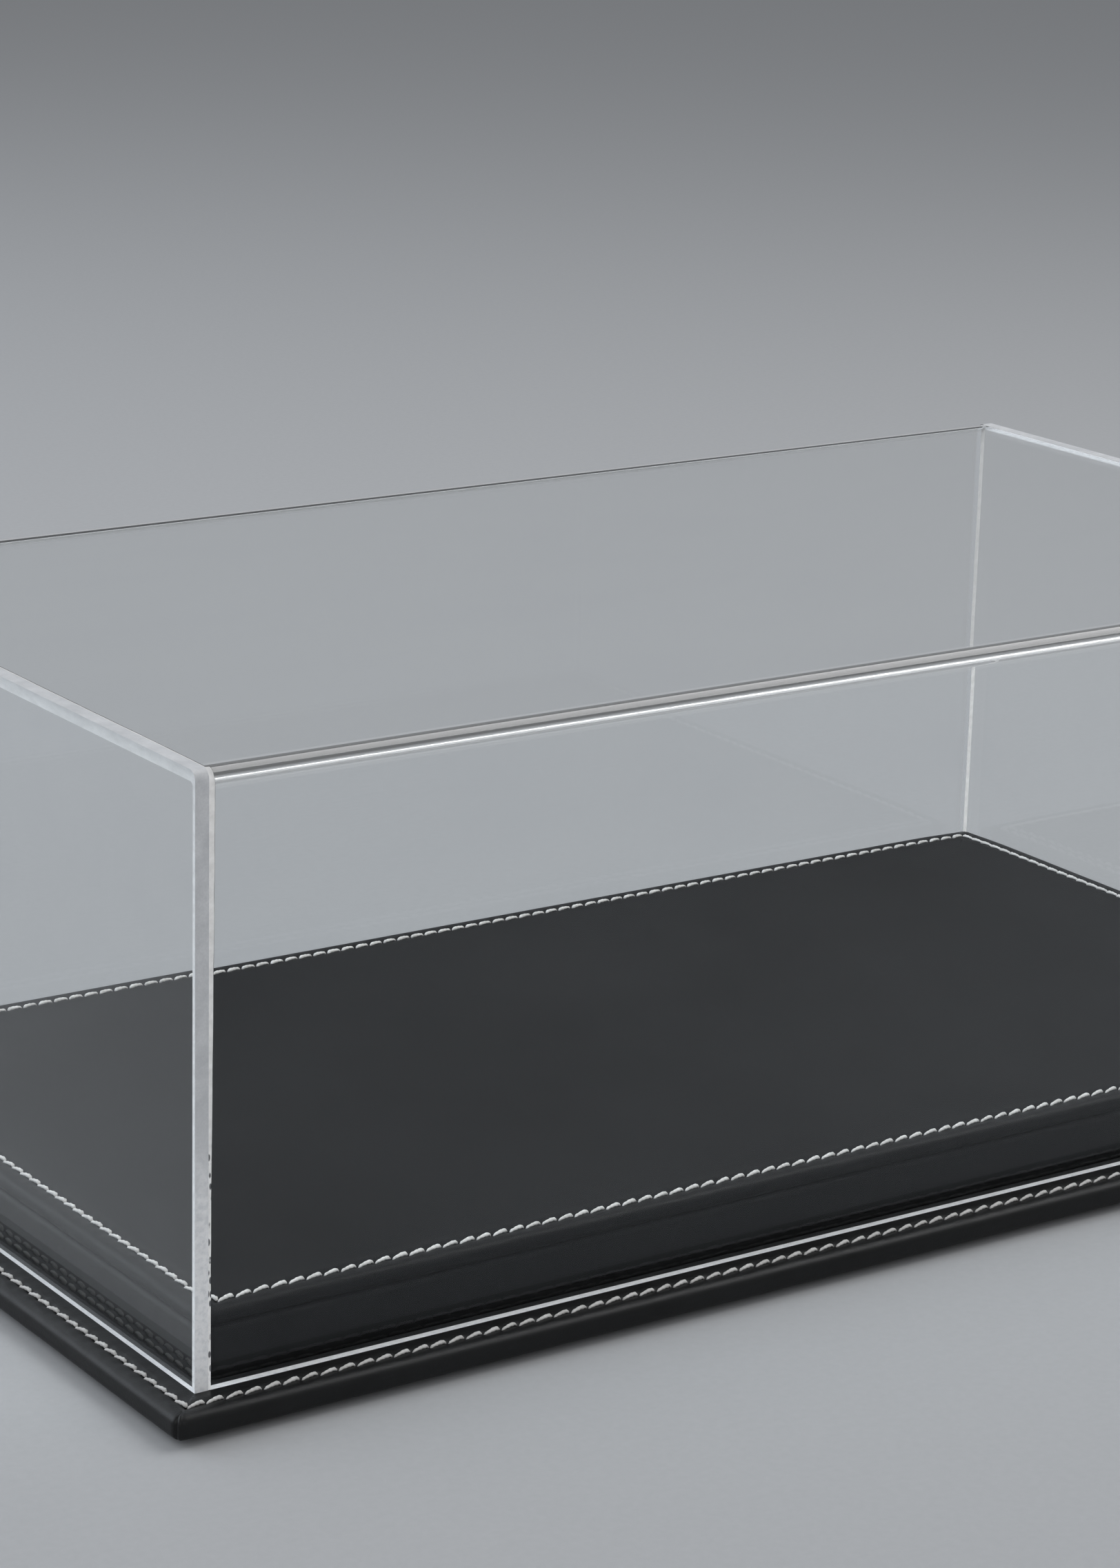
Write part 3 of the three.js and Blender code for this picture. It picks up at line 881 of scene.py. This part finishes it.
def cement_film(name, side):
    """The cement as a thin bar that fills the joint, a little below the sheet's outer face."""
    verts = []
    for station in PATH:
        outer, inner, turn = station
        y, z = middle_of(station)
        near, far = side * (COVER_X - SHEET - FILM_GAP), joint_edge(station, side, 1)
        sunk = 0.06 * noise.noise(Vector((y / 3.0, z / 3.0, side))) + 0.08
        skin = (outer[0] - sunk * turn[0], outer[1] - sunk * turn[1])
        verts += [(near, *skin), (far, *skin), (far, *inner), (near, *inner)]
    points = np.array(verts) + np.array([0, 0, LEDGE_Z])
    faces = tube_faces(0, len(PATH), 4)
    film = make_object(name, points, faces, [cement], smooth=False, weld=FINE_WELD)
    film.data.normals_split_custom_set([
        (face.normal + Vector((0, 0, FILM_TILT))).normalized()
        for face in film.data.polygons for _ in face.loop_indices
    ])
    return film


sheet_piece = bent_sheet()
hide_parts("cover_sheet")
left_panel = end_panel("cover_left_panel", -1)
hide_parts("cover_end_left")
right_panel = end_panel("cover_right_panel", 1)
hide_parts("cover_end_right")
left_joint = cement_film("cover_left_joint", -1)
right_joint = cement_film("cover_right_joint", 1)
for piece in (sheet_piece, left_panel, right_panel, left_joint, right_joint):
    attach(piece, "cover")


# CAD nodes that stay
def dress(names, material):
    for name in names:
        obj = bpy.data.objects[name]
        if not obj.material_slots:
            obj.data.materials.append(material)
        for slot in obj.material_slots:
            slot.material = material


dress(["base_board", "plinth_block", "panel_board"], fibreboard_material())
dress(["foot_front_left", "foot_front_right", "foot_rear_left", "foot_rear_right"], rubber_material())
dress([f"plinth_screw_{i}" for i in range(1, 7)], steel_material())


# Floor, light and camera, in metres and watts
FLOOR_HALF = 9.0
WORLD_COLOUR = (0.34, 0.35, 0.365, 1)
LIT_POINT = (0, 0, 0.05)


def floor_material():
    m = Nodes("pale_floor")
    fine = m.noise(size=2.0, detail=4.0)
    colour = m.mix(m.spread(fine, 0.3, 0.7), (0.45, 0.455, 0.463, 1), (0.467, 0.472, 0.48, 1))
    return m.set(Base_Color=colour, Roughness=0.85, Specular_IOR_Level=0.2)


def floor():
    mesh = bpy.data.meshes.new("floor")
    bm = bmesh.new()
    bmesh.ops.create_grid(bm, x_segments=8, y_segments=8, size=FLOOR_HALF)
    bm.to_mesh(mesh)
    bm.free()
    mesh.materials.append(floor_material())
    obj = bpy.data.objects.new("floor", mesh)
    bpy.context.scene.collection.objects.link(obj)


floor()

world = bpy.data.worlds.new("studio")
bpy.context.scene.world = world
world.use_nodes = True
background = world.node_tree.nodes["Background"]
background.inputs["Color"].default_value = WORLD_COLOUR
background.inputs["Strength"].default_value = 1.0


def softbox(name, place, size, power, colour=(1, 1, 1)):
    """A large rectangular lamp that points at the case."""
    light = bpy.data.lights.new(name, "AREA")
    light.shape = "RECTANGLE"
    light.size, light.size_y = size
    light.energy = power
    light.color = colour
    obj = bpy.data.objects.new(name, light)
    bpy.context.scene.collection.objects.link(obj)
    obj.location = place
    aim = Vector(LIT_POINT) - Vector(place)
    obj.rotation_euler = aim.to_track_quat("-Z", "Y").to_euler()


softbox("key", (-1.0, 1.1, 0.75), size=(1.8, 1.3), power=14.0, colour=(0.86, 0.925, 1.0))
softbox("top", (0.80, -0.10, 1.25), size=(1.15, 1.0), power=8.5)
softbox("fill", (-0.9, -1.6, 1.0), size=(1.4, 1.4), power=6.5)

# The camera that was solved from the cover's edges in the photograph.
PHOTO_W, PHOTO_H = 1624, 2274
FOCAL_PX = 6059.71
SENSOR_MM = 36.0
camera = bpy.data.cameras.new("camera")
camera.sensor_fit = "VERTICAL"
camera.sensor_height = SENSOR_MM
camera.sensor_width = SENSOR_MM * PHOTO_W / PHOTO_H
camera.lens = FOCAL_PX * camera.sensor_height / PHOTO_H
camera.clip_start, camera.clip_end = 0.01, 50.0
camera_object = bpy.data.objects.new("camera", camera)
bpy.context.scene.collection.objects.link(camera_object)
right = Vector((0.82662662, -0.56219075, 0.0250996))
up = Vector((0.13686471, 0.24410344, 0.96004248))
forward = Vector((0.5458539, 0.79016142, -0.27872648))
position = Vector((-0.53973, -0.74300, 0.34612))
camera_object.matrix_world = Matrix((
    (right.x, up.x, -forward.x, position.x),
    (right.y, up.y, -forward.y, position.y),
    (right.z, up.z, -forward.z, position.z),
    (0, 0, 0, 1),
))
bpy.context.scene.camera = camera_object
bpy.context.scene.view_settings.view_transform = "Standard"
